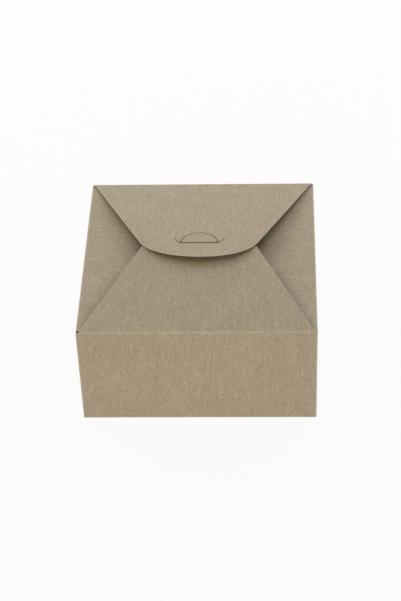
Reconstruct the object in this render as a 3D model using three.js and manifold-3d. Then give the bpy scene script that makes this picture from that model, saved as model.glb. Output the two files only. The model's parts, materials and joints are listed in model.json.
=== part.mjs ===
// A square folding gift box of ribbed kraft board, closed, standing on its base.
// Origin: middle of the base, on the surface it stands on. +Z is up, -Y is the front.
// The walls, the base and the lid flaps are one creased blank in the real box; each panel between
// two creases is a piece of its own here.
import * as THREE from 'three';
import { mergeVertices } from 'three/addons/utils/BufferGeometryUtils.js';
import Module from 'manifold-3d';

// Driving dimensions, in millimetres
const boxWidth = 160;
const boxDepth = 160;
const boxHeight = 79;
const board = 0.5;
const glueFilm = 0.125;

// Clearances
const creaseGap = 0.3;
const stackClear = 0.4;
const slitClear = 0.3;
const hookClear = 0.3;

// Lid: rear flap, with the slit, lies on the front flap, and both lie on the side flaps
const rearRise = THREE.MathUtils.degToRad(7.5);
const sideDip = THREE.MathUtils.degToRad(1);
const flapCornerInset = 1.5;
const rearEdgeLean = THREE.MathUtils.degToRad(25.4);
const rearReach = 99;
const rearShoulderStart = 80;
const rearTipFullness = 0.65;
const slitDistance = 80.5;
const slitEndRadius = 4.5;
const slitEndTurn = THREE.MathUtils.degToRad(85);
const slitEndOpening = 0.45;
const frontEdgeLean = THREE.MathUtils.degToRad(26.5);
const frontCornerRadius = 6;
const sideCornerInset = 1;
const sideEdgeLean = THREE.MathUtils.degToRad(30);
const sideReach = 66;
const sideCornerRadius = 8;
const tongueHalfWidth = 12.8;
const tongueLength = 12.4;

// Base: two hooked panels outside, two glued panels inside
const bottomCornerCut = 3;
const baseSideInset = 1;
const hookReach = 14;
const innerHookReach = 10;
const hookRampStart = 17;
const hookHalfWidth = 29;
const hookOuterWidth = 62;
const hookShoulder = 20;
const tabOverlap = 1;
const tabEndDistance = 24;
const innerPanelReach = 52;
const innerPanelTaper = 44;
const innerPanelInset = 1.8;
const baseGlueMargin = 6;

// Seam down the rear left corner
const seamWidth = 18;
const seamTaper = 8;
const seamEndInset = 1;
const seamGlueMargin = 4;

const boardColour = 0xa99a80;
const insideColour = 0xb8a583;
const glueColour = 0xd8d2c0;
const arcSteps = 12;

// Worked out from the above
const quarterTurn = Math.PI / 2;
const sideCreaseDrop = board + stackClear;
const sideHeight = boxHeight - sideCreaseDrop;
const innerPanelLift = 2 * board + glueFilm;
const slitOpening = board + 2 * slitClear;
const slitHalfLength = tongueHalfWidth + slitClear;
const tongueTop = slitClear + board;

// The front flap ends under the slit, clear below the rear flap, which gives its rise and reach
const frontEnd = new THREE.Vector2(board / 2, -(board + slitClear))
  .rotateAround(new THREE.Vector2(), -rearRise)
  .add(new THREE.Vector2(
    boxDepth - slitDistance * Math.cos(rearRise),
    slitDistance * Math.sin(rearRise),
  ));
const frontRise = frontEnd.angle();
const frontReach = frontEnd.length();
const lidAngle = frontRise + rearRise;

const wasm = await Module();
wasm.setup();

const boardMaterial = () => new THREE.MeshStandardMaterial({
  color: boardColour,
  roughness: 0.85,
  metalness: 0,
});
const insideMaterial = () => new THREE.MeshStandardMaterial({
  color: insideColour,
  roughness: 0.9,
  metalness: 0,
});
const glueMaterial = () => new THREE.MeshStandardMaterial({
  color: glueColour,
  roughness: 0.4,
  metalness: 0,
});

// Each corner of the outline moves inwards by what its two edges are cut back on the inner face
function insetLoop(outline, insets) {
  const count = outline.length;
  const inward = outline.map((point, i) => {
    const along = outline[(i + 1) % count].clone().sub(point).normalize();
    return new THREE.Vector2(-along.y, along.x);
  });
  return outline.map((point, i) => {
    const before = (i + count - 1) % count;
    if (insets[before] === 0 && insets[i] === 0) {
      return point.clone();
    }
    const a = inward[before];
    const b = inward[i];
    const spread = a.x * b.y - a.y * b.x;
    return new THREE.Vector2(
      point.x + (insets[before] * b.y - insets[i] * a.y) / spread,
      point.y + (insets[i] * a.x - insets[before] * b.x) / spread,
    );
  });
}

// A flat piece of board: its outer face is the outline at outerZ, its inner face lies at innerZ.
// An inset is how far an edge is cut back on the inner face, so that folded panels meet in a mitre.
function panelGeometry(outline, insets, outerZ, innerZ) {
  const inner = insetLoop(outline, insets);
  const count = outline.length;
  const positions = [];
  outline.forEach((point) => positions.push(point.x, point.y, outerZ));
  inner.forEach((point) => positions.push(point.x, point.y, innerZ));
  const faces = [];
  THREE.ShapeUtils.triangulateShape(outline, []).forEach(([a, b, c]) => {
    faces.push([a, b, c], [a + count, c + count, b + count]);
  });
  for (let i = 0; i < count; i += 1) {
    const next = (i + 1) % count;
    faces.push([i, i + count, next], [next, i + count, next + count]);
  }
  const facesOut = innerZ < outerZ;
  const index = faces.flatMap(([a, b, c]) => (facesOut ? [a, b, c] : [a, c, b]));
  const geometry = new THREE.BufferGeometry();
  geometry.setAttribute('position', new THREE.Float32BufferAttribute(positions, 3));
  geometry.setIndex(index);
  geometry.computeVertexNormals();
  return geometry;
}

const points = (...pairs) => pairs.map(([x, y]) => new THREE.Vector2(x, y));
const squareEdges = (outline) => outline.map(() => 0);

function toSolid(geometry) {
  const bare = geometry.clone();
  bare.deleteAttribute('normal');
  bare.deleteAttribute('uv');
  const merged = mergeVertices(bare, 1e-5);
  return new wasm.Manifold(new wasm.Mesh({
    numProp: 3,
    vertProperties: new Float32Array(merged.attributes.position.array),
    triVerts: new Uint32Array(merged.index.array),
  }));
}

function toGeometry(solid) {
  const mesh = solid.getMesh();
  const geometry = new THREE.BufferGeometry();
  geometry.setAttribute('position', new THREE.BufferAttribute(mesh.vertProperties, 3));
  geometry.setIndex(new THREE.BufferAttribute(mesh.triVerts, 1));
  geometry.computeVertexNormals();
  return geometry;
}

// A profile in the YZ plane, drawn from lowX to highX
function profileAlongX(profile, lowX, highX) {
  const shape = new THREE.Shape(profile);
  const geometry = new THREE.ExtrudeGeometry(shape, {
    depth: highX - lowX,
    bevelEnabled: false,
    curveSegments: 1,
  });
  geometry.rotateY(quarterTurn);
  geometry.rotateX(quarterTurn);
  geometry.translate(lowX, 0, 0);
  return geometry;
}

function arc(centre, radius, start, end, steps) {
  const result = [];
  for (let i = 0; i <= steps; i += 1) {
    const angle = start + (end - start) * i / steps;
    result.push(new THREE.Vector2(
      centre.x + radius * Math.cos(angle),
      centre.y + radius * Math.sin(angle),
    ));
  }
  return result;
}

const mirrored = (half) => half.map((point) => new THREE.Vector2(-point.x, point.y)).reverse();

function addMesh(parent, name, geometry, material) {
  const mesh = new THREE.Mesh(geometry, material);
  mesh.name = name;
  parent.add(mesh);
  return mesh;
}

const group = new THREE.Group();

// A frame on one side of the box: X to the right and Y up as seen from outside, Z outwards
function sideFrame(turn, distance) {
  const frame = new THREE.Group();
  frame.rotation.z = turn;
  const face = new THREE.Group();
  face.position.set(0, -distance, 0);
  face.rotation.x = quarterTurn;
  frame.add(face);
  group.add(frame);
  return face;
}

const mitreInset = (angle) => board / Math.tan(angle / 2);

// Front and rear walls: the corners at the top clear the side flaps, those at the bottom are cut
function endWall(name, turn, rise, rightInset) {
  const right = boxWidth / 2;
  const outline = points(
    [-right + bottomCornerCut, 0],
    [right - bottomCornerCut, 0],
    [right, innerPanelLift],
    [right, sideHeight],
    [right - flapCornerInset, boxHeight],
    [-right + flapCornerInset, boxHeight],
    [-right, sideHeight],
    [-right, innerPanelLift],
  );
  const insets = [board, 0, rightInset, 0, mitreInset(quarterTurn + rise), 0, board, 0];
  const geometry = panelGeometry(outline, insets, 0, -board);
  addMesh(sideFrame(turn, boxDepth / 2), name, geometry, boardMaterial());
}

// Side walls: their base panels lie on the two outer ones, so they are creased higher
function sideWall(name, turn, leftCut) {
  const left = -boxDepth / 2 + leftCut;
  const right = boxDepth / 2;
  const outline = points(
    [left, innerPanelLift],
    [right, innerPanelLift],
    [right, sideHeight],
    [left, sideHeight],
  );
  const insets = [board, board, mitreInset(quarterTurn - sideDip), board];
  const geometry = panelGeometry(outline, insets, 0, -board);
  addMesh(sideFrame(turn, boxWidth / 2), name, geometry, boardMaterial());
}

endWall('front_wall', 0, frontRise, board);
sideWall('right_wall', quarterTurn, 0);
endWall('rear_wall', Math.PI, rearRise, 0);
sideWall('left_wall', -quarterTurn, board + glueFilm);

// Seam flap: folds from the left wall and is glued inside the rear wall
function seam() {
  const right = boxWidth / 2;
  const free = right - seamWidth;
  const low = innerPanelLift + seamEndInset;
  const high = sideHeight - seamEndInset;
  const outline = points(
    [free, low + seamTaper],
    [right, low],
    [right, high],
    [free, high - seamTaper],
  );
  const flap = panelGeometry(outline, [0, board, 0, 0], 0, -board);
  const flapFace = sideFrame(Math.PI, boxDepth / 2 - board - glueFilm);
  addMesh(flapFace, 'seam_flap', flap, insideMaterial());
  const glue = points(
    [free + seamGlueMargin, low + seamTaper + seamGlueMargin],
    [right - seamGlueMargin, low + seamTaper + seamGlueMargin],
    [right - seamGlueMargin, high - seamTaper - seamGlueMargin],
    [free + seamGlueMargin, high - seamTaper - seamGlueMargin],
  );
  const film = panelGeometry(glue, squareEdges(glue), 0, -glueFilm);
  addMesh(sideFrame(Math.PI, boxDepth / 2 - board), 'seam_glue', film, glueMaterial());
}
seam();

// Half of the base, seen from above: the outer panel from the front wall with its hook, its glue
// tab beyond the diagonal crease, and the inner panel from the right wall that the tab is glued to
function baseHalf(turn, names) {
  const half = new THREE.Group();
  half.rotation.z = turn;
  group.add(half);
  const front = -boxDepth / 2;
  const side = boxWidth / 2;
  const diagonalStart = side - baseSideInset - board;
  const diagonalEnd = front + diagonalStart - hookHalfWidth;

  const outer = points(
    [-side + bottomCornerCut, front],
    [diagonalStart, front],
    [hookHalfWidth, diagonalEnd],
    [hookHalfWidth, -hookRampStart],
    [-hookClear, -hookRampStart],
    [-hookClear, hookReach],
    [-hookOuterWidth, hookReach],
    [-side + baseSideInset, hookReach - hookShoulder],
    [-side + baseSideInset, front + bottomCornerCut],
  );
  const outerInsets = [board, 0, 0, 0, 0, 0, 0, 0, 0];
  const plate = toSolid(panelGeometry(outer, outerInsets, 0, board));
  const rampTop = -hookRampStart + 2 * board;
  const hookProfile = points(
    [-hookRampStart - 2, 0],
    [-hookRampStart, 0],
    [rampTop, board],
    [innerHookReach, board],
    [innerHookReach, 2 * board],
    [rampTop - board / 4, 2 * board],
    [-hookRampStart - board / 4, board],
    [-hookRampStart - 2, board],
  );
  const hook = toSolid(profileAlongX(hookProfile, hookClear, hookHalfWidth));
  addMesh(half, names.outer, toGeometry(plate.add(hook)), boardMaterial());

  const tabSide = side - baseSideInset - board;
  const tabOutline = points(
    [tabSide, front + baseSideInset + board + tabOverlap],
    [tabSide, -tabEndDistance],
    [hookHalfWidth + innerPanelTaper / 2, -tabEndDistance],
    [hookHalfWidth + tabOverlap, diagonalEnd + board],
    [hookHalfWidth + 2 * tabOverlap, diagonalEnd - 3 * tabOverlap],
    [tabSide - tabOverlap, front + baseSideInset + board],
  );
  const tab = panelGeometry(tabOutline, squareEdges(tabOutline), board, 2 * board);
  addMesh(half, names.tab, tab, boardMaterial());

  const glueRight = tabSide - baseGlueMargin;
  const glueOutline = points(
    [glueRight, front + (side - glueRight) + 2 * baseGlueMargin],
    [glueRight, -tabEndDistance - baseGlueMargin],
    [hookHalfWidth + innerPanelTaper / 2 + baseGlueMargin, -tabEndDistance - baseGlueMargin],
  );
  const glue = panelGeometry(glueOutline, squareEdges(glueOutline), 2 * board, innerPanelLift);
  addMesh(half, names.glue, glue, glueMaterial());

  const innerHalf = boxDepth / 2 - innerPanelInset;
  const innerOutline = points(
    [side, -innerHalf],
    [side, innerHalf],
    [side - innerPanelReach, innerHalf - innerPanelTaper],
    [side - innerPanelReach, -innerHalf + innerPanelTaper],
  );
  const inner = panelGeometry(
    innerOutline,
    [board, 0, 0, 0],
    innerPanelLift,
    innerPanelLift + board,
  );
  addMesh(half, names.inner, inner, insideMaterial());
}

baseHalf(0, {
  outer: 'base_front_panel',
  tab: 'base_front_tab',
  glue: 'base_front_glue',
  inner: 'base_right_panel',
});
baseHalf(Math.PI, {
  outer: 'base_rear_panel',
  tab: 'base_rear_tab',
  glue: 'base_rear_glue',
  inner: 'base_left_panel',
});

// A lid flap lies in a frame on its crease: X along the crease, Y from the crease to the tip,
// Z out of the box. The frame's origin line is the crease, where the flap turns.
function lidFrame(position, rotation) {
  const frame = new THREE.Group();
  frame.position.copy(position);
  frame.rotation.copy(rotation);
  group.add(frame);
  return frame;
}

// The right half of a flap's outline starts on the crease, so its first edge is mirrored across it
function flapGeometry(rightHalf, angle) {
  const outline = [...mirrored(rightHalf), ...rightHalf];
  const insets = squareEdges(outline);
  insets[rightHalf.length - 1] = mitreInset(angle);
  return panelGeometry(outline, insets, 0, -board);
}

// A flap with straight slanted sides and rounded corners at its straight end
function taperedHalf(rootHalf, lean, reach, radius) {
  const endHalf = rootHalf - reach * Math.tan(lean);
  const cornerTangent = radius * Math.tan((quarterTurn - lean) / 2);
  const centre = new THREE.Vector2(endHalf - cornerTangent, reach - radius);
  return [
    new THREE.Vector2(rootHalf - creaseGap * Math.tan(lean), creaseGap),
    ...arc(centre, radius, lean, quarterTurn, arcSteps / 2),
  ];
}

// The rear flap's slanted side runs into the broad round tip in one curve
function rearHalf() {
  const rootHalf = boxWidth / 2 - flapCornerInset;
  const onSide = (distance) => new THREE.Vector2(
    rootHalf - distance * Math.tan(rearEdgeLean),
    distance,
  );
  const tip = new THREE.Vector2(0, rearReach);
  const shoulder = onSide(rearShoulderStart);
  const corner = onSide(rearReach);
  const curve = new THREE.CubicBezierCurve(
    shoulder,
    shoulder.clone().lerp(corner, rearTipFullness),
    tip.clone().lerp(corner, rearTipFullness),
    tip,
  );
  return [onSide(creaseGap), ...curve.getPoints(2 * arcSteps)];
}

// The slit: a straight middle as wide as the tongue, and an end curving back towards the crease
function slitGeometry() {
  const middle = new THREE.Vector2(slitHalfLength, slitDistance - slitEndRadius);
  const outer = [];
  const inner = [];
  for (let i = 0; i <= arcSteps; i += 1) {
    const share = i / arcSteps;
    const angle = quarterTurn - slitEndTurn * share;
    const halfOpening = THREE.MathUtils.lerp(slitOpening, slitEndOpening, share) / 2;
    const direction = new THREE.Vector2(Math.cos(angle), Math.sin(angle));
    outer.push(middle.clone().addScaledVector(direction, slitEndRadius + halfOpening));
    inner.push(middle.clone().addScaledVector(direction, slitEndRadius - halfOpening));
  }
  const right = [...inner, ...outer.reverse()];
  const outline = [...right, ...mirrored(right)];
  return panelGeometry(outline, squareEdges(outline), board, -2 * board);
}

const rearFrame = lidFrame(
  new THREE.Vector3(0, boxDepth / 2, boxHeight),
  new THREE.Euler(-rearRise, 0, Math.PI),
);
const rearRight = rearHalf();
const rearOutline = [...rearRight, ...mirrored(rearRight).slice(1)];
const rearInsets = squareEdges(rearOutline);
rearInsets[rearOutline.length - 1] = mitreInset(quarterTurn + rearRise);
const rearSolid = toSolid(panelGeometry(rearOutline, rearInsets, 0, -board));
const slitSolid = toSolid(slitGeometry());
addMesh(rearFrame, 'rear_flap', toGeometry(rearSolid.subtract(slitSolid)), boardMaterial());

const frontFrame = lidFrame(
  new THREE.Vector3(0, -boxDepth / 2, boxHeight),
  new THREE.Euler(frontRise, 0, 0),
);

// A place beside the slit, as seen by the front flap: along is towards the rear crease, from the
// middle of the slit, and height is above the rear flap
function atSlit(along, height) {
  return new THREE.Vector2(along - board / 2, height + board + slitClear)
    .rotateAround(new THREE.Vector2(), -lidAngle)
    .add(new THREE.Vector2(frontReach, 0));
}

// The neck joins the front flap's end to the tongue, up through the slit
const frontHalf = taperedHalf(
  boxWidth / 2 - flapCornerInset,
  frontEdgeLean,
  frontReach,
  frontCornerRadius,
);
const frontPlate = toSolid(flapGeometry(frontHalf, quarterTurn + frontRise));
const neckProfile = [
  new THREE.Vector2(frontReach - board, -board / 2),
  new THREE.Vector2(frontReach, -board / 2),
  atSlit(board / 2, -(board + slitClear)),
  atSlit(board / 2, tongueTop),
  atSlit(-board / 2, tongueTop),
  atSlit(-board / 2, -(board + slitClear)),
];
const neck = toSolid(profileAlongX(neckProfile, -tongueHalfWidth, tongueHalfWidth));
addMesh(frontFrame, 'front_flap', toGeometry(frontPlate.add(neck)), boardMaterial());

// The tongue: a half moon bent back over the rear flap
const tongueFrame = new THREE.Group();
const tongueRoot = atSlit(board / 2 + slitClear / 2, tongueTop);
tongueFrame.position.set(0, tongueRoot.x, tongueRoot.y);
tongueFrame.rotation.x = -lidAngle;
frontFrame.add(tongueFrame);
const tongueStart = slitClear / 2;
const tongueRun = tongueLength - board / 2 - slitClear;
const tongueRadius = (tongueHalfWidth ** 2 + tongueRun ** 2) / (2 * tongueRun);
const tongueCentre = new THREE.Vector2(0, tongueStart + tongueRun - tongueRadius);
const tongueStartAngle = Math.atan2(tongueStart - tongueCentre.y, tongueHalfWidth);
const tongueOutline = arc(
  tongueCentre,
  tongueRadius,
  tongueStartAngle,
  Math.PI - tongueStartAngle,
  2 * arcSteps,
);
const tongue = panelGeometry(tongueOutline, squareEdges(tongueOutline), 0, -board);
addMesh(tongueFrame, 'tongue', tongue, boardMaterial());

const sideHalf = taperedHalf(
  boxDepth / 2 - sideCornerInset,
  sideEdgeLean,
  sideReach,
  sideCornerRadius,
);
const leftFrame = lidFrame(
  new THREE.Vector3(-boxWidth / 2, 0, sideHeight),
  new THREE.Euler(0, sideDip, -quarterTurn),
);
addMesh(leftFrame, 'left_flap', flapGeometry(sideHalf, quarterTurn - sideDip), boardMaterial());
const rightFrame = lidFrame(
  new THREE.Vector3(boxWidth / 2, 0, sideHeight),
  new THREE.Euler(0, -sideDip, quarterTurn),
);
addMesh(rightFrame, 'right_flap', flapGeometry(sideHalf, quarterTurn - sideDip), boardMaterial());

export default group;
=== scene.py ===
# The looks of the folding gift box: one blank of ribbed kraft board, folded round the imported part.
import json
import math

import bpy
import numpy as np
from mathutils import Matrix, Vector, geometry

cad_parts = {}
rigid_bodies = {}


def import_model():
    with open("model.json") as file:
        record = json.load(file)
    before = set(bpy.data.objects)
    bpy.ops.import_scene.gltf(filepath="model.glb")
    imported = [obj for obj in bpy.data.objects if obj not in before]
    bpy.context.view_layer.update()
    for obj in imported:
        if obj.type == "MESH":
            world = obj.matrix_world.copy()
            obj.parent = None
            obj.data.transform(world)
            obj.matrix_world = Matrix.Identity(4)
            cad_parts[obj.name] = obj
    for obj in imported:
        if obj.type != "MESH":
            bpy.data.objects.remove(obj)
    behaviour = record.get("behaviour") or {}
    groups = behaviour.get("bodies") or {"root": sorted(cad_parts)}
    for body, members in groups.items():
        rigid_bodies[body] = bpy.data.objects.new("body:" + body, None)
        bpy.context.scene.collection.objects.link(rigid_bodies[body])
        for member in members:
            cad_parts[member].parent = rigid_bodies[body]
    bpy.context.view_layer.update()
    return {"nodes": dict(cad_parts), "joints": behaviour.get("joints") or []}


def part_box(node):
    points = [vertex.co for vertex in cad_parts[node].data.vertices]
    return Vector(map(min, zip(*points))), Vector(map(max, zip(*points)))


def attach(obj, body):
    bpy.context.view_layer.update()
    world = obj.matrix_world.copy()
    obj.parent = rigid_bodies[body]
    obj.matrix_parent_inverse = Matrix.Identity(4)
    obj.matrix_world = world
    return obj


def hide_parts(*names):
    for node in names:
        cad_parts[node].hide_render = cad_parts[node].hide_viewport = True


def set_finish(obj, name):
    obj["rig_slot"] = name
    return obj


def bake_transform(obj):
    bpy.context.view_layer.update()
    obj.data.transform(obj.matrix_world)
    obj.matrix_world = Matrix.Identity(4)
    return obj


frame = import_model()

MM = 0.001


# Camera: the photograph's viewing angle, with the slight roll that it was taken with
PHOTO_HEIGHT = 601
SENSOR = 36.0
FOCAL_PIXELS = 1802.0
CLIP_END = 50.0
CAMERA_AZIMUTH = math.radians(3.18)
CAMERA_ELEVATION = math.radians(41.24)
CAMERA_ROLL = math.radians(-2.38)
CAMERA_DISTANCE = 1.330
CAMERA_TARGET = Vector((-0.0030, 0.0418, 0.0))


def add_object(name, data):
    thing = bpy.data.objects.new(name, data)
    bpy.context.scene.collection.objects.link(thing)
    return thing


def make_camera():
    level = math.cos(CAMERA_ELEVATION)
    back = Vector((
        math.sin(CAMERA_AZIMUTH) * level,
        -math.cos(CAMERA_AZIMUTH) * level,
        math.sin(CAMERA_ELEVATION),
    ))
    right = Vector((math.cos(CAMERA_AZIMUTH), math.sin(CAMERA_AZIMUTH), 0.0))
    up = back.cross(right)
    rolled_right = right * math.cos(CAMERA_ROLL) + up * math.sin(CAMERA_ROLL)
    rolled_up = up * math.cos(CAMERA_ROLL) - right * math.sin(CAMERA_ROLL)
    data = bpy.data.cameras.new("camera")
    data.sensor_width = SENSOR
    data.lens = FOCAL_PIXELS / PHOTO_HEIGHT * SENSOR
    data.clip_end = CLIP_END
    camera = add_object("camera", data)
    turned = Matrix((rolled_right, rolled_up, back)).transposed().to_4x4()
    camera.matrix_world = Matrix.Translation(CAMERA_TARGET + back * CAMERA_DISTANCE) @ turned
    bpy.context.scene.camera = camera


make_camera()


# Sizes of the folded blank in millimetres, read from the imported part
def size_of(node):
    low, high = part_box(node)
    return low / MM, high / MM


front_low, front_high = size_of("front_wall")
side_low, side_high = size_of("right_wall")
HALF_WIDTH = front_high.x
HALF_DEPTH = -front_low.y
BOARD = front_high.y - front_low.y
END_HEIGHT = front_high.z
SIDE_HEIGHT = side_high.z
SIDE_BASE = side_low.z
SEAM_PLANE = size_of("seam_flap")[1].y

# Folds and edges of the board
FOLD_RADIUS = 0.7
FOLD_STRIP = 1.0
FOLD_STEPS = 6
EDGE_RADIUS = 0.09
EDGE_ANGLES = [math.radians(a) for a in (30, 60, 90)]
RIB_PITCH = 1.3
RIB_DEPTH = 0.085

# What sets one rib apart from the next, and the share of its height that is fixed and that varies
RIB_SCATTER = (12.9898, 4.137, 3.1, 0.11)
RIB_STRENGTH = (0.72, 0.28)

# The board's mesh: steps between its points, and how near to each other they may lie
RIB_STEPS = 4
INNER_COLUMN = 4
ROW_STEP = 4.0
SHORTEST_EDGE = 0.05
GRID_MARGIN = 0.16
EXTRA_MARGIN = 0.14
BEND_MARGIN = 0.06
NEARLY_STRAIGHT = 0.02
LONGEST_RUN = 6.1
MANY_EDGES = 400
CHUNK = 150
MERGE = 1e-5
NO_AREA = 1e-9
NO_SPAN = 1e-6
CLOSE = 1e-3
FAR_OFF = 20.0
SLOPE_STEP = 0.02
UP = np.array((0.0, 0.0, 1.0))

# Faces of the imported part: how far a point may lie out of a plane, in metres, and how nearly a
# face has to look the same way
IN_PLANE = 3e-6
SAME_WAY = 0.9


# A flat path of straight runs joined by round corners, measured along its length
class Path:
    def __init__(self, corners, radius):
        corners = [np.array(c, float) for c in corners]
        self.pieces = []
        at = 0.0
        start = corners[0]
        for before, corner, after in zip(corners, corners[1:], corners[2:]):
            arriving = (corner - before) / np.linalg.norm(corner - before)
            leaving = (after - corner) / np.linalg.norm(after - corner)
            turn = math.atan2(
                arriving[0] * leaving[1] - arriving[1] * leaving[0],
                float(arriving @ leaving),
            )
            tangent = radius * math.tan(turn / 2)
            heading = math.atan2(arriving[1], arriving[0])
            run = np.linalg.norm(corner - start) - tangent
            self.pieces.append((at, at + run, start, heading, 0.0))
            at += run
            arc_start = corner - arriving * tangent
            self.pieces.append((at, at + radius * turn, arc_start, heading, 1 / radius))
            at += radius * turn
            start = corner + leaving * tangent
        last = corners[-1] - start
        heading = math.atan2(last[1], last[0])
        self.pieces.append((at, at + np.linalg.norm(last), start, heading, 0.0))
        self.origin = 0.0

    def at(self, s):
        """Points and headings at the lengths s, which may run past both ends."""
        s = np.asarray(s, float) + self.origin
        x, y, angle = np.zeros_like(s), np.zeros_like(s), np.zeros_like(s)
        for index, (low, high, start, heading, curve) in enumerate(self.pieces):
            inside = (s >= low) if index else np.ones(s.shape, bool)
            run = s[inside] - low
            if curve:
                turned = run * curve
                x[inside] = start[0] + (np.sin(heading + turned) - math.sin(heading)) / curve
                y[inside] = start[1] - (np.cos(heading + turned) - math.cos(heading)) / curve
                angle[inside] = heading + turned
            else:
                x[inside] = start[0] + run * math.cos(heading)
                y[inside] = start[1] + run * math.sin(heading)
                angle[inside] = heading
        return x, y, angle

    def arcs(self):
        return [(low - self.origin, high - self.origin) for low, high, _, _, c in self.pieces if c]


# The sleeve seen from above, from the seam flap's free edge round to the rear wall's
seam_reach = size_of("seam_flap")[1].x
sleeve = Path(
    [
        (seam_reach, SEAM_PLANE),
        (-HALF_WIDTH, SEAM_PLANE),
        (-HALF_WIDTH, -HALF_DEPTH),
        (HALF_WIDTH, -HALF_DEPTH),
        (HALF_WIDTH, HALF_DEPTH),
        (-HALF_WIDTH, HALF_DEPTH),
    ],
    FOLD_RADIUS,
)
corner_arcs = sleeve.arcs()
corner_middles = [(low + high) / 2 for low, high in corner_arcs]


def up_normal_of(node):
    """The direction that a panel's largest upper face looks in."""
    mesh = frame["nodes"][node].data
    upper = [p for p in mesh.polygons if p.normal.z > 0.5]
    return max(upper, key=lambda p: p.area).normal.copy()


# Each side's middle along the sleeve, the direction it looks in, how far it is from the box's
# middle, and how high its wall's foot and head are
SIDES = {}
for name, middle, (x, y), half, base, height in (
    ("left", corner_arcs[1][0] - (HALF_DEPTH - FOLD_RADIUS),
     (-1, 0), HALF_WIDTH, SIDE_BASE, SIDE_HEIGHT),
    ("front", corner_arcs[1][1] + HALF_WIDTH - FOLD_RADIUS,
     (0, -1), HALF_DEPTH, 0.0, END_HEIGHT),
    ("right", corner_arcs[2][1] + HALF_DEPTH - FOLD_RADIUS,
     (1, 0), HALF_WIDTH, SIDE_BASE, SIDE_HEIGHT),
    ("rear", corner_arcs[3][1] + HALF_WIDTH - FOLD_RADIUS,
     (0, 1), HALF_DEPTH, 0.0, END_HEIGHT),
):
    outward = Vector((x, y, 0))
    normal = up_normal_of(name + "_flap")
    rise = math.atan2(normal.dot(outward), normal.z)
    flap_end = (half - half * math.cos(rise), height + half * math.sin(rise))
    path = Path([(0.0, base), (half, base), (half, height), flap_end], FOLD_RADIUS)
    wall_start, _, wall_foot, _, _ = path.pieces[2]
    path.origin = wall_start - wall_foot[1]
    bottom, top = path.arcs()
    top_tangent = height - top[0]
    bottom_tangent = bottom[1] - base
    SIDES[name] = {
        "middle": middle,
        "across": Vector((-y, x, 0)),
        "outward": outward,
        "half": half,
        "height": height,
        "rise": rise,
        "path": path,
        "wall_top": height - FOLD_STRIP,
        "flap_start": top[1] + FOLD_STRIP - top_tangent,
        "crease": (top[0] + top[1]) / 2,
        "bottom_crease": (bottom[0] + bottom[1]) / 2,
        "wall_bottom": base + FOLD_STRIP,
        "to_crease": top[1] - top_tangent,
        "from_base": bottom[0] + bottom_tangent,
        "top_arc": top,
        "bottom_arc": bottom,
    }


# Surfaces: each maps flat blank coordinates, u along the sleeve and v up it, to the folded box
def fold_surface(side, lift=None):
    """The strip of blank over one side: base panel, wall and lid flap, folded at both creases."""
    across = np.array(side["across"])
    outward = np.array(side["outward"])

    def surface(u, v):
        distance, height, heading = side["path"].at(v)
        points = (
            np.outer(u - side["middle"], across)
            + np.outer(distance, outward)
            + np.outer(height, UP)
        )
        if lift is not None:
            normals = np.outer(np.sin(heading), outward) - np.outer(np.cos(heading), UP)
            points = points + normals * lift(u - side["middle"], v)[:, None]
        return points

    return surface


def sleeve_surface(bow):
    """The walls, round the folded corners."""
    def surface(u, v):
        x, y, heading = sleeve.at(u)
        inwards = bow(u, v)
        return np.column_stack((x - np.sin(heading) * inwards, y + np.cos(heading) * inwards, v))

    return surface


def smooth_step(low, high, value):
    t = np.clip((value - low) / (high - low), 0.0, 1.0)
    return t * t * (3 - 2 * t)


def rib_relief(u, v):
    """How deep the ribbed face lies below the board's outer plane: 0 on a crest."""
    turn = u / RIB_PITCH
    crest = 0.5 + 0.5 * np.cos(2 * math.pi * turn)
    rib = np.round(turn)
    scatter, wander, sway, along = RIB_SCATTER
    uneven = 0.5 + 0.5 * np.sin(rib * scatter + np.sin(rib * wander) * sway + v * along)
    strength = RIB_STRENGTH[0] + RIB_STRENGTH[1] * uneven
    return -RIB_DEPTH * (1 - crest * strength)


# Building a piece of board from a flat outline
def inset_loop(loop, insets):
    """Moves each edge of a closed outline inwards by its own inset."""
    after = np.roll(loop, -1, axis=0)
    along = after - loop
    along /= np.linalg.norm(along, axis=1)[:, None]
    inward = np.column_stack((-along[:, 1], along[:, 0]))
    before = np.roll(inward, 1, axis=0)
    inset_before = np.roll(insets, 1)
    spread = before[:, 0] * inward[:, 1] - before[:, 1] * inward[:, 0]
    straight = np.abs(spread) < NEARLY_STRAIGHT
    safe = np.where(straight, 1.0, spread)
    moved = np.column_stack((
        (inset_before * inward[:, 1] - insets * before[:, 1]) / safe,
        (insets * before[:, 0] - inset_before * inward[:, 0]) / safe,
    ))
    middle = (before + inward) / 2
    middle /= np.linalg.norm(middle, axis=1)[:, None]
    level = np.minimum(inset_before, insets)[:, None] * middle
    return loop + np.where(straight[:, None], level, moved)


def sample_loop(loop, columns, rows):
    """Adds a point wherever an outline crosses a column or a row."""
    points = []
    for start, end in zip(loop, np.roll(loop, -1, axis=0)):
        shares = [0.0]
        for axis, lines in ((0, columns), (1, rows)):
            span = end[axis] - start[axis]
            if abs(span) > NO_SPAN:
                crossings = (lines - start[axis]) / span
                shares.extend(crossings[(crossings > 0) & (crossings < 1)])
        shares = sorted(shares)
        length = np.linalg.norm(end - start)
        kept = [shares[0]]
        for share in shares[1:]:
            if min(share - kept[-1], 1 - share) * length > SHORTEST_EDGE:
                kept.append(share)
        points.extend(start + (end - start) * share for share in kept)
    return np.array(points)


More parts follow.
